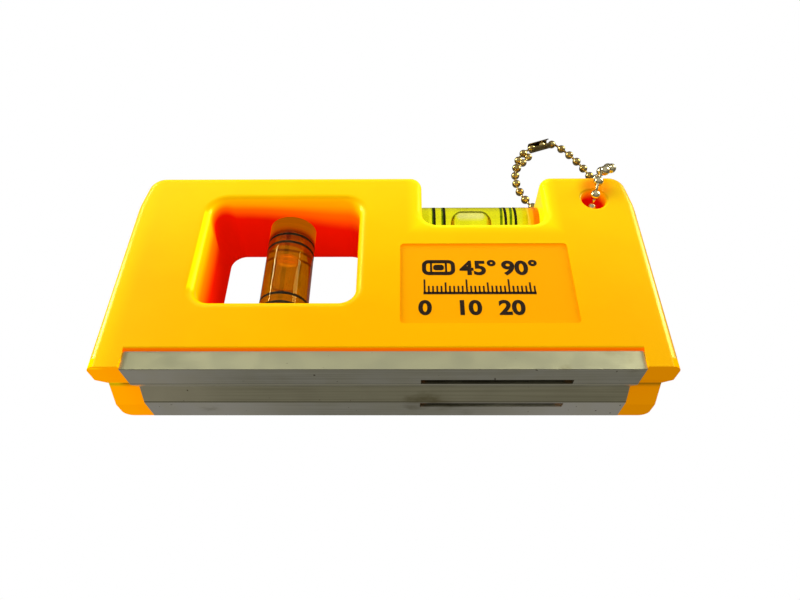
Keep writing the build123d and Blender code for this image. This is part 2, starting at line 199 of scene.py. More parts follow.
# ---------------------------------------------------------------- settings a user would change
class BodySettings(bpy.types.PropertyGroup):
    """Colours and finish of the moulded shells, with their painted light and shade, and the metal
    base.
    """

    plastic: bpy.props.FloatVectorProperty(
        name="Plastic",
        description="Colour of the moulded shells",
        subtype="COLOR",
        size=4,
        default=(0.91, 0.43, 0.0, 1.0),
    )
    # painted light: the shells' colour where they are painted palest, by the top edge
    plastic_lit: bpy.props.FloatVectorProperty(
        name="Plastic at the top",
        description="Colour of the shells where they are palest, by the top edge",
        subtype="COLOR",
        size=4,
        default=(0.95, 0.56, 0.0, 1.0),
    )
    # painted shade: the shells' colour just inside the window
    plastic_pocket: bpy.props.FloatVectorProperty(
        name="Plastic in pockets",
        description="Colour of the shells just inside the window",
        subtype="COLOR",
        size=4,
        default=(0.95, 0.20, 0.0, 1.0),
    )
    # painted shade: the shells' colour deep inside the window and the hole
    plastic_recess: bpy.props.FloatVectorProperty(
        name="Plastic in recesses",
        description="Colour of the shells deep inside the window and the hole",
        subtype="COLOR",
        size=4,
        default=(0.85, 0.015, 0.0, 1.0),
    )
    metal: bpy.props.FloatVectorProperty(
        name="Channel",
        description="Colour of the aluminium channel",
        subtype="COLOR",
        size=4,
        default=(0.74, 0.73, 0.64, 1.0),
    )


class VialSettings(bpy.types.PropertyGroup):
    """Colours of the vials."""

    liquid: bpy.props.FloatVectorProperty(
        name="Level liquid",
        description="Colour of the liquid in the level vial",
        subtype="COLOR",
        size=4,
        default=(0.68, 0.64, 0.012, 1.0),
    )
    # painted shade: the same liquid as the level vial's, darkened as a shaded copy
    plumb_liquid: bpy.props.FloatVectorProperty(
        name="Plumb liquid",
        description="Colour of the liquid in the plumb vial",
        subtype="COLOR",
        size=4,
        default=(0.20, 0.062, 0.0, 1.0),
    )


class ChainSettings(bpy.types.PropertyGroup):
    """Sizes of the ball chain."""

    bead_diameter: bpy.props.FloatProperty(
        name="Bead diameter",
        description="Outside diameter of one bead",
        subtype="DISTANCE",
        unit="LENGTH",
        default=0.0026,
    )
    bead_pitch: bpy.props.FloatProperty(
        name="Bead pitch",
        description="Distance from one bead to the next",
        subtype="DISTANCE",
        unit="LENGTH",
        default=0.0037,
    )
    link_diameter: bpy.props.FloatProperty(
        name="Link diameter",
        description="Diameter of the pins between the beads",
        subtype="DISTANCE",
        unit="LENGTH",
        default=0.0007,
    )


class StageSettings(bpy.types.PropertyGroup):
    """Floor, lights and camera."""

    lens: bpy.props.FloatProperty(
        name="Lens",
        description="Focal length in millimetres on a 36 mm sensor",
        default=27.931,
    )
    ceiling: bpy.props.FloatVectorProperty(
        name="Ceiling",
        description="Light that comes from overhead",
        subtype="COLOR",
        size=4,
        default=(0.52, 0.515, 0.39, 1.0),
    )
    walls: bpy.props.FloatVectorProperty(
        name="Walls",
        description="Light that comes from around the horizon",
        subtype="COLOR",
        size=4,
        default=(0.20, 0.185, 0.13, 1.0),
    )
    bench: bpy.props.FloatVectorProperty(
        name="Bench",
        description="Light that comes from below the horizon",
        subtype="COLOR",
        size=4,
        default=(0.155, 0.145, 0.105, 1.0),
    )
    ground: bpy.props.FloatVectorProperty(
        name="Ground",
        description="Light that comes from straight below",
        subtype="COLOR",
        size=4,
        default=(0.20, 0.195, 0.18, 1.0),
    )


# ---------------------------------------------------------------- material helpers
def connect(value, socket):
    """Links another node's output to a socket, or sets the socket to a plain value."""
    if isinstance(value, bpy.types.NodeSocket):
        socket.id_data.links.new(value, socket)
    else:
        socket.default_value = value


def feed(node, **values):
    """Connects values to a node's sockets by name, with underscores for spaces."""
    for key, value in values.items():
        connect(value, node.inputs[key.replace("_", " ")])


def new_material(name):
    """A new material and its shader node."""
    material = bpy.data.materials.new(name)
    material.use_nodes = True
    return material, material.node_tree.nodes["Principled BSDF"]


def even_material(name, **values):
    """A material with the same finish all over."""
    material, shader = new_material(name)
    feed(shader, **values)
    return material


def object_place(material):
    """Object coordinates, which every pattern here is laid out on."""
    return material.node_tree.nodes.new("ShaderNodeTexCoord").outputs["Object"]


def split(place):
    """The x, y and z of a place."""
    axes = place.id_data.nodes.new("ShaderNodeSeparateXYZ")
    feed(axes, Vector=place)
    return [axes.outputs[name] for name in "XYZ"]


def noise(place, scale, detail=3.0, stretch=(1, 1, 1)):
    """Noise on the object's coordinates, stretched along its axes."""
    nodes = place.id_data.nodes
    mapping = nodes.new("ShaderNodeMapping")
    feed(mapping, Scale=stretch, Vector=place)
    texture = nodes.new("ShaderNodeTexNoise")
    feed(texture, Scale=scale, Detail=detail, Vector=mapping.outputs["Vector"])
    return texture.outputs["Fac"]


def remap(value, from_low, from_high, to_low=0.0, to_high=1.0):
    """A value mapped from one range to another, smoothly and clamped."""
    node = value.id_data.nodes.new("ShaderNodeMapRange")
    node.interpolation_type = "SMOOTHSTEP"
    feed(node, From_Min=from_low, From_Max=from_high, To_Min=to_low, To_Max=to_high, Value=value)
    return node.outputs["Result"]


def combine(operation, *values):
    """Values put together in turn by one Math operation; the first or second is an output."""
    total = values[0]
    for value in values[1:]:
        known = total if isinstance(total, bpy.types.NodeSocket) else value
        node = known.id_data.nodes.new("ShaderNodeMath")
        node.operation = operation
        connect(total, node.inputs[0])
        connect(value, node.inputs[1])
        total = node.outputs["Value"]
    return total


def times(*values):
    """Values multiplied together."""
    return combine("MULTIPLY", *values)


def most(*values):
    """The largest of several values."""
    return combine("MAXIMUM", *values)


def minus(first, second):
    """One value less another."""
    return combine("SUBTRACT", first, second)


def size_of(value):
    """A value without its sign."""
    node = value.id_data.nodes.new("ShaderNodeMath")
    node.operation = "ABSOLUTE"
    connect(value, node.inputs[0])
    return node.outputs["Value"]


def near(value, middle, half):
    """1 where a coordinate lies within a distance of a place, 0 elsewhere."""
    node = value.id_data.nodes.new("ShaderNodeMath")
    node.operation = "COMPARE"
    for socket, operand in zip(node.inputs, (value, middle, half)):
        connect(operand, socket)
    return node.outputs["Value"]


def distance_to(place, axis):
    """How far a place is, seen along Z, from an axis at (x, y)."""
    nodes = place.id_data.nodes
    flat = nodes.new("ShaderNodeVectorMath")
    flat.operation = "MULTIPLY"
    connect(place, flat.inputs[0])
    connect((1, 1, 0), flat.inputs[1])
    distance = nodes.new("ShaderNodeVectorMath")
    distance.operation = "DISTANCE"
    connect(flat.outputs["Vector"], distance.inputs[0])
    connect((*axis, 0), distance.inputs[1])
    return distance.outputs["Value"]


def zone(x, y, middle_x, half_x, middle_y, half_y):
    """1 inside a rectangle seen along Z, 0 outside it."""
    return times(near(x, middle_x, half_x), near(y, middle_y, half_y))


def mix(factor, first, second):
    """Two colours mixed by a factor."""
    node = factor.id_data.nodes.new("ShaderNodeMix")
    node.data_type = "RGBA"
    feed(node, Factor=factor, A=first, B=second)
    return node.outputs["Result"]


def bump(height, strength, distance):
    """A Bump node's normal."""
    node = height.id_data.nodes.new("ShaderNodeBump")
    feed(node, Strength=strength, Distance=distance, Height=height)
    return node.outputs["Normal"]


def give(node_name, material):
    """Puts a material on a CAD node."""
    paint(frame["nodes"][node_name], material)


def paint(piece, material):
    """Puts one material all over a piece."""
    piece.data.materials.clear()
    piece.data.materials.append(material)


def select_only(*pieces):
    """Selects these pieces and nothing else; the first one is active."""
    deselect_all()
    for piece in pieces:
        piece.select_set(True)
    bpy.context.view_layer.objects.active = pieces[0]


def deselect_all():
    """Nothing stays selected, so the next operator acts on its own piece alone."""
    bpy.ops.object.select_all(action="DESELECT")


# ---------------------------------------------------------------- stage
class STAGE_OT_level(bpy.types.Operator):
    """Adds the pale floor, the soft lights and the camera"""

    bl_idname = "level.stage"
    bl_label = "Stage"

    def execute(self, context):
        settings = context.scene.level_stage
        deselect_all()
        bpy.ops.mesh.primitive_plane_add(size=6.0, location=(0, 0, -0.0001))
        floor = context.object
        floor.name = "floor"
        white = even_material(
            "floor_white", Base_Color=(0, 0, 0, 1), Roughness=1.0, Specular_IOR_Level=0.0,
            Emission_Color=(1, 1, 1, 1), Emission_Strength=1.0,
        )
        floor.data.materials.append(white)
        floor.visible_diffuse = False
        floor.visible_glossy = False

        # a pale room above a brown bench, for reflections and soft fill
        world = bpy.data.worlds.new("studio")
        world.use_nodes = True
        nodes = world.node_tree.nodes
        up = split(nodes.new("ShaderNodeTexCoord").outputs["Generated"])[2]
        below = mix(remap(up, -0.45, -0.8), settings.bench, settings.ground)
        walls = mix(remap(up, -0.08, 0.12), below, settings.walls)
        room = mix(remap(up, 0.35, 0.85), walls, settings.ceiling)
        feed(nodes["Background"], Color=room, Strength=1.0)
        context.scene.world = world

        for name, way, distance, width, height, power, seen_by in STUDIO_LIGHTS:
            place = Vector(way).normalized() * distance
            bpy.ops.object.light_add(type="AREA", location=place)
            light = context.object
            light.name = name
            light.data.shape = "RECTANGLE"
            light.data.size = width
            light.data.size_y = height
            light.data.energy = power
            light.data.color = LIGHT_COLOUR
            light.visible_glossy = seen_by != "matt"
            light.visible_diffuse = seen_by != "gloss"
            light.rotation_euler = (-place).to_track_quat("-Z", "Y").to_euler()

        bpy.ops.object.camera_add()
        camera = context.object
        camera.name = "camera"
        camera.data.lens = settings.lens
        camera.data.sensor_width = 36.0
        camera.data.clip_start = 0.01
        turn = Matrix.Identity(4)
        for angle, axis in CAMERA_TURNS:
            turn = turn @ Matrix.Rotation(math.radians(angle), 4, axis)
        camera.matrix_world = Matrix.Translation(CAMERA_PLACE) @ turn
        context.scene.camera = camera
        context.scene.view_settings.view_transform = "Standard"
        return {"FINISHED"}


# ---------------------------------------------------------------- chain
def route_line():
    """The chain's centreline, read from one open spline through the route."""
    curve = bpy.data.curves.new("chain_route", "CURVE")
    curve.dimensions = "3D"
    curve.resolution_u = 12
    spline = curve.splines.new("NURBS")
    spline.points.add(len(CHAIN_ROUTE) - 1)
    for point, place in zip(spline.points, CHAIN_ROUTE):
        point.co = (*place, 1.0)
    spline.order_u = 3
    spline.use_endpoint_u = True
    holder = bpy.data.objects.new("chain_route", curve)
    mesh = bpy.data.meshes.new_from_object(holder)
    line = [vertex.co.copy() for vertex in mesh.vertices]
    bpy.data.objects.remove(holder)
    bpy.data.meshes.remove(mesh)
    return line


def stations(line, pitch):
    """Evenly spaced places along a line, each with its direction."""
    lengths = [0.0]
    for here, after in zip(line, line[1:]):
        lengths.append(lengths[-1] + (after - here).length)
    count = round(lengths[-1] / pitch)
    step = lengths[-1] / count
    found, index = [], 0
    for number in range(count):
        distance = (number + 0.5) * step
        while lengths[index + 1] < distance:
            index += 1
        share = (distance - lengths[index]) / (lengths[index + 1] - lengths[index])
        way = (line[index + 1] - line[index]).normalized()
        found.append((line[index].lerp(line[index + 1], share), way))
    return found, step


class CHAIN_OT_level(bpy.types.Operator):
    """Builds the beads and links along the chain's route"""

    bl_idname = "level.chain"
    bl_label = "Ball chain"

    def execute(self, context):
        settings = context.scene.level_chain
        line = route_line()
        places, step = stations(line, settings.bead_pitch)
        deselect_all()
        bpy.ops.mesh.primitive_uv_sphere_add(
            segments=24, ring_count=14, radius=settings.bead_diameter / 2, location=(0, 0, 0)
        )
        bead = context.object
        bpy.ops.object.shade_smooth()
        bpy.ops.mesh.primitive_cylinder_add(
            vertices=10, radius=settings.link_diameter / 2, depth=step, location=(0, 0, step / 2)
        )
        link = context.object
        bpy.ops.object.shade_smooth()
        select_only(bead, link)
        bpy.ops.object.join()
        template = context.object
        copies = []
        for place, way in places:
            copy = template.copy()
            copy.data = template.data.copy()
            context.collection.objects.link(copy)
            turn = way.to_track_quat("Z", "Y").to_matrix().to_4x4()
            copy.matrix_world = Matrix.Translation(place) @ turn
            copies.append(copy)
        bpy.data.objects.remove(template)
        select_only(*copies)
        bpy.ops.object.join()
        chain = context.object
        bpy.ops.object.transform_apply(location=True, rotation=True, scale=True)
        chain.name = "bead_chain"
        material = nickel("bead_nickel")
        paint(chain, material)
        give("chain_tail", material)
        # painted shade: the coupling's nickel is a darkened copy of the beads'
        sleeve = turned_coupling(nickel("coupling_nickel", 0.55))
        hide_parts("ball_chain")
        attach(chain, "body")
        return {"FINISHED"}


def merged_copy(node_name):
    """A copy of a CAD piece with its split edges merged, left selected and active."""
    source = frame["nodes"][node_name]
    copy = source.copy()
    copy.data = source.data.copy()
    copy.parent = None
    bpy.context.collection.objects.link(copy)
    copy.matrix_world = source.matrix_world.copy()
    select_only(copy)
    bpy.ops.object.mode_set(mode="EDIT")
    bpy.ops.mesh.select_all(action="SELECT")
    bpy.ops.mesh.remove_doubles(threshold=0.000001)
    bpy.ops.object.mode_set(mode="OBJECT")
    return copy


def turned_coupling(material):
    """The coupling's sleeve, turned on the chain so that its opening looks up and forward."""
    sleeve = merged_copy("chain_coupling")
    start, finish = (Vector(CHAIN_ROUTE[index]) for index in COUPLING_SPAN)
    middle = (start + finish) / 2
    turn = Matrix.Rotation(math.radians(COUPLING_TURN), 4, (finish - start).normalized())
    turn = Matrix.Translation(middle) @ turn @ Matrix.Translation(-middle)
    settle(sleeve, "coupling_sleeve", turn)
    paint(sleeve, material)
    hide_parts("chain_coupling")
    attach(sleeve, "body")
    return sleeve


def nickel(name, shade=1.0):
    """Bright nickel plate, a little warm, with faint tarnish; shade darkens all of it as painted
    shade.
    """
    material, shader = new_material(name)
    place = object_place(material)
    tarnish = remap(noise(place, 900.0), 0.35, 0.7)
    # painted shade: the plate is darker and browner by the table than higher up
    bright = remap(split(place)[2], 8.0 * MM, 17.0 * MM)
    clean = mix(bright, (0.62, 0.49, 0.24, 1), (0.86, 0.80, 0.68, 1))
    dull = mix(bright, (0.34, 0.19, 0.04, 1), (0.58, 0.47, 0.30, 1))
    shaded = material.node_tree.nodes.new("ShaderNodeVectorMath")
    shaded.operation = "SCALE"
    shaded.inputs["Scale"].default_value = shade
    connect(mix(tarnish, clean, dull), shaded.inputs[0])
    roughness = remap(tarnish, 0.0, 1.0, 0.10, 0.24)
    feed(shader, Base_Color=shaded.outputs["Vector"], Roughness=roughness, Metallic=1.0)
    return material


# ---------------------------------------------------------------- shells
def face_colour(place, x, y, settings):
    """The outer colour, paler at the top, the left end and the notch as painted light, and warm
    over the hole as painted shade of the chain.
    """
    mottle = remap(noise(place, 90.0), 0.3, 0.7, 0.0, 0.15)
    # painted light: paler towards the top and towards the left
    high = remap(y, BASE_Y + 4.0 * MM, TOP_Y)
    west = remap(x, 5.0 * MM, -60.0 * MM, 0.0, 0.32)
    colour = mix(minus(most(high, west), mottle), settings.plastic, settings.plastic_lit)
    # painted highlight along the left end
    edge = remap(x, FRONT_LOW.x + 7.0 * MM, FRONT_LOW.x + 1.5 * MM)
    colour = mix(edge, colour, LIT_END)
    # painted highlight round the notch
    beside = minus(size_of(minus(x, NOTCH_X)), NOTCH_HALF)
    halo = remap(most(beside, minus(NOTCH_FLOOR, y)), 4.5 * MM, 0.4 * MM)
    colour = mix(halo, colour, NOTCH_HIGHLIGHT)
    # painted shade of the chain over the hole
    over_hole = distance_to(place, (HOLE[0] + 1.2 * MM, HOLE[1] + 4.2 * MM))
    return mix(remap(over_hole, 6.0 * MM, 1.5 * MM), colour, CHAIN_SHADE_OVER_HOLE)


def window_depth(x, y, depth):
    """Depth in the window that sets its painted shade, stretched at its top and left, where the
    painted shade is deeper.
    """
    top = remap(y, WINDOW_Y + 8.0 * MM, WINDOW_Y + 11.5 * MM, 0.5, 1.3)
    left = remap(x, WINDOW_LEFT + 6.0 * MM, WINDOW_LEFT + 36.0 * MM, 1.15, 0.68)
    corner = remap(x, WINDOW_LEFT + 1.0 * MM, WINDOW_LEFT + 5.0 * MM, 1.5, 1.0)
    return times(depth, top, left, corner)


def window_band(x, y, depth):
    """1 on the narrow rim along the window's left edge, where a highlight is painted in."""
    height = size_of(minus(y, WINDOW_Y))
    return times(
        remap(x, WINDOW_LEFT - 2.4 * MM, WINDOW_LEFT - 1.5 * MM),
        remap(x, WINDOW_LEFT, WINDOW_LEFT - 0.5 * MM),
        remap(height, 13.6 * MM, 11.6 * MM),
        remap(depth, 0.02 * MM, 0.12 * MM),
    )


def moulded_yellow(settings):
    """Translucent yellow plastic, with painted shade that deepens its colour in recesses and
    painted light that makes it glow on rims, ends and undersides.
    """
    material, shader = new_material("moulded_yellow")
    place = object_place(material)
    x, y, z = split(place)
    depth = minus(FRONT_Z, z)

    # where each painted shade and painted light lies
    window = zone(x, y, PLUMB_CENTRE.x, 21.7 * MM, WINDOW_Y, 18.3 * MM)
    notch = zone(x, y, LEVEL_CENTRE.x, 21.0 * MM, TOP_Y, 20.5 * MM)
    hole = remap(distance_to(place, HOLE), 4.8 * MM, 4.2 * MM)
    shade_depth = window_depth(x, y, depth)
    # painted shade and painted light on the step above the channel
    rim = remap(depth, 0.0, 0.7 * MM)
    over_channel = times(
        near(y, CHANNEL_HIGH.y + 0.6 * MM, 0.8 * MM),
        remap(depth, 0.0, 0.2 * MM),
        near(x, 0.0, CHANNEL_HIGH.x + 0.3 * MM),
    )
    # painted shade: the window pockets and the hole's bore turn redder and darker with depth
    pocket = most(times(window, remap(shade_depth, 1.6 * MM, 5.5 * MM)), over_channel)
    bored = times(hole, remap(depth, 0.6 * MM, 3.5 * MM))
    recess = most(times(window, remap(shade_depth, 4.0 * MM, 11.0 * MM)), bored)
    # painted shade in the label's recess
    pressed = times(zone(x, y, *LABEL_ZONE), remap(depth, 0.1 * MM, 0.4 * MM))
    # painted highlight on the left end
    left_x = FRONT_LOW.x
    left_end = times(
        remap(x, left_x + 4.5 * MM, left_x + 2.0 * MM), remap(depth, 0.2 * MM, 1.2 * MM)
    )
    band = window_band(x, y, depth)
    # painted light on the undersides
    underside = remap(y, FRONT_LOW.y + 2.6 * MM, FRONT_LOW.y + 2.0 * MM)
    outer = remap(size_of(x), 50.0 * MM, 52.5 * MM)
    under = times(underside, remap(depth, 0.0, 0.05 * MM), outer)

    # the face colour, with the painted shade mixed in below
    colour = face_colour(place, x, y, settings)
    for where, tint in (
        (pocket, settings.plastic_pocket),
        (recess, settings.plastic_recess),
        (pressed, LABEL_RECESS_SHADE),
    ):
        colour = mix(where, colour, tint)

    # colours of the painted light: yellow on the notch, left end and window rim, orange-red on the
    # undersides, red in pockets and recesses
    glow = mix(most(notch, left_end, band), GLOW_ORANGE, GLOW_YELLOW)
    for where, tint in (
        (times(underside, remap(depth, 0.4 * MM, 1.5 * MM)), GLOW_UNDERSIDE),
        (pocket, GLOW_POCKET),
        (recess, GLOW_RECESS),
    ):
        glow = mix(where, glow, tint)

    # strength of the painted light, which also lights the upper part of the label's recess
    lit = most(
        over_channel,
        times(window, rim),
        times(bored, 0.6),
        times(hole, remap(depth, 0.0, 0.4 * MM), 0.65),
        times(notch, rim, 0.35),
        times(left_end, 0.6),
        band,
        times(pressed, remap(y, LABEL_TOP - 1.3 * MM, LABEL_TOP - 0.1 * MM)),
        times(under, remap(x, -40.0 * MM, 40.0 * MM, 1.5, 0.8)),
    )
    lining = times(window, remap(depth, 1.3 * MM, 2.5 * MM))
    matt = most(pocket, recess, under, lining)
    feed(
        shader,
        Base_Color=colour,
        Roughness=0.24,
        Specular_IOR_Level=remap(matt, 0.0, 1.0, 0.7, 0.0),
        Specular_Tint=(1.0, 0.92, 0.0, 1.0),
        Normal=bump(noise(place, 2500.0, 4.0), 0.08, 0.1 * MM),
        Emission_Color=glow,
        Emission_Strength=times(lit, 0.5),
    )
    return material


class SHELLS_OT_level(bpy.types.Operator):
    """Finishes the two moulded shells"""

    bl_idname = "level.shells"
    bl_label = "Shells"

    def execute(self, context):
        material = moulded_yellow(context.scene.level_body)
        give("front_shell", material)
        give("rear_shell", material)
        return {"FINISHED"}


# ---------------------------------------------------------------- label
def printed_bar(x, y, width, height, corner=0.0, hollow=0.0):
    """A flat printed shape on the label, square or rounded, whole or as an outline."""
    deselect_all()
    bpy.ops.mesh.primitive_plane_add(size=1.0, location=(0, 0, 0))
    bar = bpy.context.object
    bar.scale = (width, height, 1.0)
    bpy.ops.object.transform_apply(location=False, rotation=False, scale=True)
    bpy.ops.object.mode_set(mode="EDIT")
    bpy.ops.mesh.select_all(action="SELECT")
    if corner:
        bpy.ops.mesh.bevel(offset=corner, segments=6, affect="VERTICES")
    if hollow:
        bpy.ops.mesh.select_all(action="SELECT")
        bpy.ops.mesh.inset(thickness=hollow, depth=0)
        bpy.ops.mesh.delete(type="FACE")
        bpy.ops.mesh.select_all(action="SELECT")
    bpy.ops.mesh.extrude_region_move(TRANSFORM_OT_translate={"value": (0, 0, PRINT_THICKNESS)})
    bpy.ops.mesh.select_all(action="SELECT")
    bpy.ops.mesh.normals_make_consistent(inside=False)
    bpy.ops.object.mode_set(mode="OBJECT")
    bar.location = (x, y, LABEL_Z - 0.01 * MM)
    bpy.ops.object.transform_apply(location=True, rotation=False, scale=False)
    return bar


def printed_text(words, x, y, height):
    """Bold printed figures, their lower left corner at a place on the label."""
    deselect_all()
    bpy.ops.object.text_add(location=(0, 0, 0))
    text = bpy.context.object
    text.data.body = words
    text.data.size = height * FONT_SIZE
    text.data.offset = 0.2 * MM
    text.data.extrude = PRINT_THICKNESS / 2
    text.data.resolution_u = 6
    bpy.ops.object.convert(target="MESH")
    text = bpy.context.object
    text.scale = (1.1, 1.0, 1.0)
    text.location = (x, y, LABEL_Z - 0.01 * MM + PRINT_THICKNESS / 2)
    bpy.ops.object.transform_apply(location=True, rotation=False, scale=True)
    return text


class PRINT_OT_level(bpy.types.Operator):
    """Prints a vial sign, angles and a short millimetre scale on the label"""

    bl_idname = "level.print"
    bl_label = "Label print"

    def execute(self, context):
        sign_x, sign_y = SIGN
        marks = [
            printed_bar(sign_x, sign_y, 8.0 * MM, 4.6 * MM, corner=1.6 * MM, hollow=1.0 * MM),
            printed_bar(sign_x, sign_y, 2.6 * MM, 1.7 * MM, corner=0.7 * MM),
            printed_bar(sign_x - 1.8 * MM, sign_y, 0.5 * MM, 3.0 * MM),
            printed_bar(sign_x + 1.8 * MM, sign_y, 0.5 * MM, 3.0 * MM),
            printed_text("45\u00b0", 18.3 * MM, -3.8 * MM, 4.2 * MM),
            printed_text("90\u00b0", 28.3 * MM, -3.8 * MM, 4.2 * MM),
            printed_bar(SCALE_START + SCALE_TICKS / 2 * MM, SCALE_Y, 26.6 * MM, 0.7 * MM),
        ]
        for tick in range(SCALE_TICKS + 1):
            place = SCALE_START + tick * MM
            height = 4.0 * MM if tick % 10 == 0 else 3.1 * MM if tick % 5 == 0 else 2.1 * MM
            marks.append(printed_bar(place, SCALE_Y + height / 2, 0.42 * MM, height))
            if tick % 10 == 0:
                half = 1.5 * MM if tick == 0 else 2.9 * MM
                marks.append(printed_text(str(tick), place - half, SCALE_Y - 6.0 * MM, 4.0 * MM))
        select_only(*marks)
        bpy.ops.object.join()
        print_piece = context.object
        bpy.ops.object.transform_apply(location=True, rotation=True, scale=True)
        print_piece.name = "label_print"
        material, shader = new_material("label_ink")
        worn = remap(noise(object_place(material), 1200.0), 0.35, 0.7)
        dark = mix(worn, (0.006, 0.003, 0.002, 1), (0.02, 0.006, 0.003, 1))
        feed(shader, Base_Color=dark, Roughness=0.6, Specular_IOR_Level=0.2)
        paint(print_piece, material)
        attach(print_piece, "body")
        return {"FINISHED"}


class CHANNEL_OT_level(bpy.types.Operator):
    """Finishes the aluminium channel, the magnet and its plates"""

    bl_idname = "level.channel"
    bl_label = "Channel and magnet"

    def execute(self, context):
        settings = context.scene.level_body
        material, shader = new_material("extruded_aluminium")
        place = object_place(material)
        x, _, z = split(place)
        drawn = noise(place, 1.0, 5.0, (20.0, 2200.0, 2200.0))
        colour = mix(remap(drawn, 0.3, 0.7), settings.metal, (0.60, 0.59, 0.50, 1))
        # painted light and shade: the legs are darker than the base face, darker still at the far
        # left, the metal below the legs is lighter at its left end, and the rear rail is lighter
        # at its ends
        leg = remap(z, CHANNEL_HIGH.z - 0.02 * MM, CHANNEL_HIGH.z - 0.1 * MM)
        far_left = remap(x, -35.0 * MM, -58.0 * MM)
        leg_shade_colour = mix(far_left, (0.60, 0.60, 0.49, 1), (0.44, 0.44, 0.35, 1))
        colour = mix(leg, leg_shade_colour, colour)
        bright_left = times(leg, remap(x, -25.0 * MM, -55.0 * MM))
        colour = mix(bright_left, colour, (0.98, 0.95, 0.86, 1))
        rear = remap(z, MID_Z - 4.5 * MM, MID_Z - 4.8 * MM)
        ends = remap(size_of(x), 12.0 * MM, 45.0 * MM, 0.1, 1.0)
        colour = mix(times(rear, ends), colour, (1.0, 0.98, 0.93, 1))
        # painted shade and a painted highlight lie along the groove's edges, and grime lies in
        # smears
        for edge, half, shade in CHANNEL_EDGE_SHADING:
            colour = mix(near(z, edge, half), colour, (shade, shade * 0.97, shade * 0.8, 1))
        grime = remap(noise(place, 95.0, 6.0, (0.6, 1, 1)), 0.62, 0.80)
        colour = mix(grime, colour, (0.34, 0.31, 0.20, 1))
        specks = remap(noise(place, 700.0, 2.0), 0.72, 0.78)
        colour = mix(specks, colour, (0.22, 0.2, 0.15, 1))
        roughness = remap(noise(place, 160.0, 4.0), 0.3, 0.7, 0.34, 0.5)
        normal = bump(drawn, 0.2, 0.1 * MM)
        feed(shader, Base_Color=colour, Roughness=roughness, Normal=normal, Metallic=1.0)
        give("base_channel", material)

        give("magnet_bar", even_material(
            "sintered_ferrite", Base_Color=(0.02, 0.02, 0.02, 1), Roughness=0.8
        ))
        steel = even_material(
            "sheared_steel", Base_Color=(0.10, 0.085, 0.06, 1), Metallic=0.8, Roughness=0.6
        )
        give("pole_plate_front", steel)
        give("pole_plate_rear", steel)
        return {"FINISHED"}


# ---------------------------------------------------------------- vials
def vial_turn(centre, along_x):
    """The matrix that lays a piece built along Z, plug end up, into its vial's place."""
    if along_x:
        axes = Matrix(((0, 0, -1), (0, 1, 0), (1, 0, 0)))
    else:
        axes = Matrix(((0, 1, 0), (0, 0, 1), (1, 0, 0)))
    return Matrix.Translation(centre) @ axes.to_4x4()


def settle(piece, name, matrix):
    """Applies a piece's place to its mesh and names it."""
    piece.matrix_world = matrix
    select_only(piece)
    bpy.ops.object.transform_apply(location=True, rotation=True, scale=True)
    piece.name = name
    return piece


def select_faces(piece, test):
    """Selects the faces of a piece in edit mode that pass a test on centre and normal."""
    bpy.ops.object.mode_set(mode="OBJECT")
    piece.data.vertices.foreach_set("select", [False] * len(piece.data.vertices))
    piece.data.edges.foreach_set("select", [False] * len(piece.data.edges))
    for face in piece.data.polygons:
        face.select = test(face.center, face.normal)
    bpy.ops.object.mode_set(mode="EDIT")


def bored_tube(radius, bore, length, floor, outer, inner):
    """An acrylic tube along Z, bored from the top to a closed end."""
    deselect_all()
    bpy.ops.mesh.primitive_cylinder_add(vertices=96, radius=radius, depth=length)
    tube = bpy.context.object
    tube.data.materials.append(outer)
    tube.data.materials.append(inner)
    bpy.ops.object.mode_set(mode="EDIT")
    bpy.ops.mesh.select_mode(type="FACE")
    select_faces(tube, lambda centre, normal: normal.z > 0.9)
    bpy.ops.mesh.inset(thickness=radius - bore, depth=0)
    bpy.ops.mesh.extrude_region_move(TRANSFORM_OT_translate={"value": (0, 0, floor - length)})
    bpy.ops.object.mode_set(mode="OBJECT")
    for face in tube.data.polygons:
        wall = face.center.xy.length < bore and abs(face.normal.z) < 0.5
        end = face.normal.z > 0.9 and face.center.z < length / 2 - 1.0 * MM
        face.material_index = 1 if wall or end else 0
    select_only(tube)
    bpy.ops.object.shade_smooth_by_angle(angle=math.radians(35.0))
    return tube


def round_bubble(radius, length, rise, shift, material):
    """A bubble with round ends, lifted to the top of the bore."""
    deselect_all()
    bpy.ops.mesh.primitive_uv_sphere_add(segments=48, ring_count=32, radius=radius)
    bubble = bpy.context.object
    stretch = length / 2 - radius
    for vertex in bubble.data.vertices:
        if abs(vertex.co.z) > 1e-6:
            vertex.co.z += math.copysign(stretch, vertex.co.z)
        vertex.co.x += rise
        vertex.co.z += shift
    bubble.data.materials.append(material)
    bpy.ops.object.shade_smooth()
    return bubble


def bold_lines(vial, along_x, material):
    """A vial's printed rings, each drawn a little wider along the vial."""
    lines = merged_copy(f"{vial}_lines")
    earlier = set(bpy.data.objects)
    bpy.ops.object.mode_set(mode="EDIT")
    bpy.ops.mesh.select_all(action="SELECT")
    bpy.ops.mesh.separate(type="LOOSE")
    bpy.ops.object.mode_set(mode="OBJECT")
    rings = [lines] + [piece for piece in bpy.data.objects if piece not in earlier]
    select_only(*rings)
    bpy.ops.object.origin_set(type="ORIGIN_GEOMETRY", center="BOUNDS")
    for ring in rings:
        ring.scale = (LINE_STRETCH, 1.0, 1.0) if along_x else (1.0, LINE_STRETCH, 1.0)
    bpy.ops.object.transform_apply(location=True, rotation=True, scale=True)
    bpy.ops.object.join()
    lines = bpy.context.object
    lines.name = f"{vial}_rings"
    paint(lines, material)
    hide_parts(f"{vial}_lines")
    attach(lines, "body")


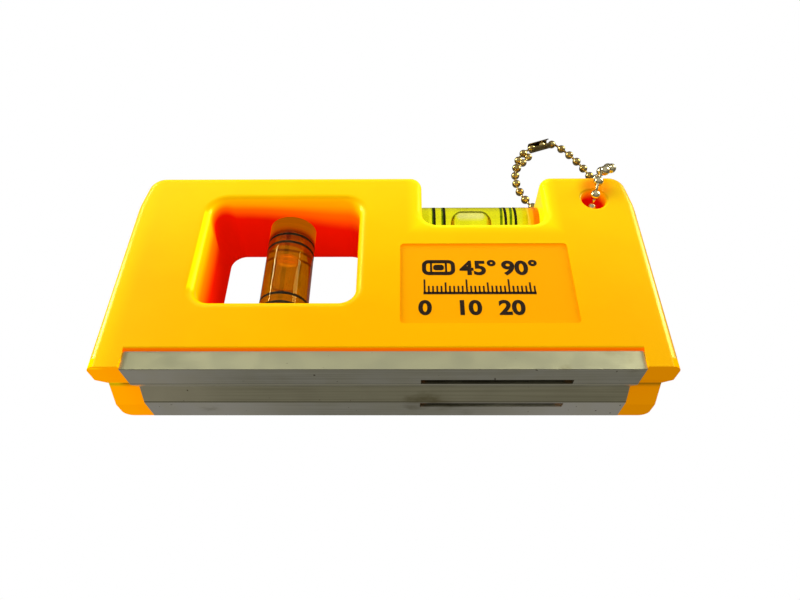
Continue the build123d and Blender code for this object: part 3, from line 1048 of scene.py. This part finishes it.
def clear_acrylic(name, axis, tinted_from, tinted_to, tint, glow, seat):
    """Polished clear acrylic with faint scuffs; its solid end has the orange seat seen through it
    painted in, as painted refraction with a painted glow.
    """
    material, shader = new_material(name)
    place = object_place(material)
    along = split(place)["XYZ".index(axis)]
    seat_from, seat_to, seat_refraction, seat_glow = seat
    end = remap(along, tinted_from, tinted_to)
    by_seat = remap(along, tinted_to + seat_from, tinted_to + seat_to)
    feed(
        shader,
        Base_Color=mix(end, ACRYLIC, mix(by_seat, seat_refraction, tint)),
        Roughness=remap(noise(place, 700.0, 4.0), 0.45, 0.8, 0.01, 0.06),
        IOR=1.49,
        Specular_Tint=(0.45, 0.34, 0.0, 1.0),
        Transmission_Weight=1.0,
        Emission_Color=mix(by_seat, seat_glow, glow),
        Emission_Strength=times(end, 0.5),
    )
    return material


def wetted_wall(name, tint):
    """The bore's wall where liquid wets it: no refraction, only the liquid's tint."""
    material, shader = new_material(name)
    drift = remap(noise(object_place(material), 260.0), 0.3, 0.7)
    pale = tuple(min(1.0, 1.2 * channel) for channel in tint[:3]) + (1.0,)
    feed(shader, Base_Color=mix(drift, tint, pale), **NO_REFRACTION)
    return material


def glowing_liquid(name, glow_colour, glow):
    """Clear liquid with painted light glowing in it, a little uneven."""
    material, shader = new_material(name)
    drift = remap(noise(object_place(material), 200.0), 0.35, 0.65, 0.75, 1.0)
    feed(shader, Base_Color=(0.97, 0.97, 0.9, 1), **NO_REFRACTION)
    feed(shader, Emission_Color=glow_colour, Emission_Strength=times(drift, glow))
    return material


def bubble_skin(name, ior, ends, top_highlight, axis, middle, half):
    """The skin of an air bubble inside liquid, which bends light the other way, its ends tinted
    with a painted reflection.
    """
    material, shader = new_material(name)
    nodes = material.node_tree.nodes
    place = object_place(material)
    axes = split(place)
    off = size_of(minus(axes["XYZ".index(axis)], middle))
    tip = remap(off, half - 0.9 * MM, half - 0.3 * MM)
    glass = nodes.new("ShaderNodeBsdfGlass")
    normal = bump(noise(place, 500.0, 1.0), 0.05, 0.1 * MM)
    feed(glass, IOR=ior, Roughness=0.0, Normal=normal, Color=mix(tip, (1.0, 1.0, 0.97, 1.0), ends))
    # painted highlight along the top of the bubble
    low, high, shine = top_highlight
    glow = nodes.new("ShaderNodeEmission")
    feed(glow, Color=shine, Strength=remap(axes[1], low, high))
    both = nodes.new("ShaderNodeAddShader")
    connect(glass.outputs["BSDF"], both.inputs[0])
    connect(glow.outputs["Emission"], both.inputs[1])
    nodes.remove(shader)
    feed(nodes["Material Output"], Surface=both.outputs["Shader"])
    return material


def line_ink(name):
    """Worn black ink: its material, shader, coordinates and colour."""
    material, shader = new_material(name)
    place = object_place(material)
    worn = remap(noise(place, 900.0), 0.35, 0.7)
    dark = mix(worn, (0.004, 0.004, 0.004, 1), (0.02, 0.02, 0.012, 1))
    feed(shader, Base_Color=dark, Roughness=0.7, Specular_IOR_Level=0.1)
    return material, shader, place, dark


def level_line_ink():
    """The level vial's ink, painted green with a painted glow on the far side, where it is seen
    through the liquid.
    """
    material, shader, place, dark = line_ink("level_line_ink")
    far = remap(split(place)[2], LEVEL_CENTRE.z + 0.2 * MM, LEVEL_CENTRE.z - 0.2 * MM)
    feed(
        shader,
        Base_Color=mix(far, dark, (0.01, 0.12, 0.01, 1)),
        Emission_Color=(0.03, 0.8, 0.05, 1),
        Emission_Strength=times(far, 0.12),
    )
    return material


def cured_resin():
    """Cloudy amber resin, which bonds each vial into its seat."""
    material, shader = new_material("cured_resin")
    cloud = remap(noise(object_place(material), 600.0), 0.3, 0.7)
    amber = mix(cloud, (0.75, 0.62, 0.35, 1), (0.6, 0.48, 0.25, 1))
    feed(shader, Base_Color=amber, Roughness=0.45)
    return material


class VIALS_OT_level(bpy.types.Operator):
    """Builds the two vials' tubes and bubbles, and finishes their lines, liquid and plugs"""

    bl_idname = "level.vials"
    bl_label = "Vials"

    def execute(self, context):
        settings = context.scene.level_vial
        bond = cured_resin()
        # painted refraction and painted glow of the orange seat in each vial's solid end
        solid_x = LEVEL_HIGH.x - CLOSED_END
        level_clear = clear_acrylic(
            "level_acrylic", "X", solid_x - 0.8 * MM, solid_x + 0.2 * MM,
            (0.66, 0.28, 0.01, 1.0), (0.44, 0.14, 0.0, 1.0),
            (0.5 * MM, 1.7 * MM, (0.66, 0.52, 0.01, 1.0), (0.44, 0.26, 0.0, 1.0)),
        )
        plug_y = PLUMB_HIGH.y - 7.6 * MM
        plumb_clear = clear_acrylic(
            "plumb_acrylic", "Y", plug_y - 1.0 * MM, plug_y + 1.0 * MM,
            (0.45, 0.28, 0.02, 1.0), (0.58, 0.16, 0.0, 1.0),
            (-1.0 * MM, 1.0 * MM, (0.45, 0.16, 0.01, 1.0), (0.62, 0.10, 0.0, 1.0)),
        )
        # each vial's acrylic and ink, the liquid's tint, the colour and strength of its painted
        # glow, and the plug's tint
        vials = [
            ("level_vial", LEVEL_CENTRE, True, level_clear, level_line_ink(),
             settings.liquid, (0.9, 0.9, 0.0, 1.0), 0.05, (0.9, 0.88, 0.3, 1)),
            ("plumb_vial", PLUMB_CENTRE, False, plumb_clear, line_ink("line_ink")[0],
             settings.plumb_liquid, (1.0, 0.33, 0.0, 1.0), 0.12, (0.8, 0.6, 0.2, 1)),
        ]
        for vial, centre, along_x, clear, ink, tint, shine, glow, plug in vials:
            place = vial_turn(centre, along_x)
            wall = wetted_wall(f"{vial}_wall", tuple(tint))
            radius = VIAL_RADIUS - TUBE_GAP
            tube = bored_tube(radius, BORE_RADIUS, VIAL_LENGTH, CLOSED_END, clear, wall)
            settle(tube, f"{vial}_acrylic", place)
            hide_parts(f"{vial}_tube")
            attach(tube, "body")
            build_bubble(vial, centre, along_x, place)
            give(f"{vial}_liquid", glowing_liquid(f"{vial}_fill", shine, glow))
            give(f"{vial}_plug", wetted_wall(f"{vial}_plug_moulding", plug))
            bold_lines(vial, along_x, ink)
            give(f"{vial}_bond", bond)
        return {"FINISHED"}


def build_bubble(vial, centre, along_x, place):
    """A vial's bubble, at rest where its CAD node is, with a painted highlight along its top."""
    low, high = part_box(f"{vial}_bubble")
    middle = (low + high) / 2
    if along_x:
        axis, at, length, shift = "X", middle.x, high.x - low.x, centre.x - middle.x
        top_highlight = (centre.y + 2.3 * MM, centre.y + 3.0 * MM, (0.05, 0.05, 1.8, 1.0))
    else:
        axis, at, length, shift = "Y", middle.y, high.y - low.y, middle.y - centre.y
        top_highlight = (high.y - 2.3 * MM, high.y - 1.5 * MM, (0.72, 0.26, 0.005, 1.0))
    skin = bubble_skin(f"{vial}_air", *AIR[vial], top_highlight, axis, at, length / 2)
    radius = BUBBLE_RADIUS[vial]
    bubble = round_bubble(radius, length, BORE_RADIUS - BUBBLE_GAP - radius, shift, skin)
    settle(bubble, f"{vial}_air", place)
    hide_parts(f"{vial}_bubble")
    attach(bubble, vial.replace("vial", "bubble"))


class VIEW3D_PT_level(bpy.types.Panel):
    """Sidebar panel with every step of the level"""

    bl_idname = "VIEW3D_PT_level"
    bl_label = "Spirit Level"
    bl_space_type = "VIEW_3D"
    bl_region_type = "UI"
    bl_category = "Level"

    def draw(self, context):
        for operator in OPERATORS:
            self.layout.operator(operator.bl_idname)


SETTINGS = {
    "level_body": BodySettings,
    "level_vial": VialSettings,
    "level_chain": ChainSettings,
    "level_stage": StageSettings,
}
OPERATORS = [
    STAGE_OT_level,
    CHAIN_OT_level,
    SHELLS_OT_level,
    PRINT_OT_level,
    CHANNEL_OT_level,
    VIALS_OT_level,
]
CLASSES = [*SETTINGS.values(), *OPERATORS, VIEW3D_PT_level]


def register():
    for cls in CLASSES:
        bpy.utils.register_class(cls)
    for name, cls in SETTINGS.items():
        setattr(bpy.types.Scene, name, bpy.props.PointerProperty(type=cls))


def unregister():
    for name in SETTINGS:
        delattr(bpy.types.Scene, name)
    for cls in reversed(CLASSES):
        bpy.utils.unregister_class(cls)


def main():
    register()
    bpy.ops.level.stage()
    bpy.ops.level.chain()
    bpy.ops.level.shells()
    bpy.ops.level.print()
    bpy.ops.level.channel()
    bpy.ops.level.vials()


if __name__ == "__main__":
    main()
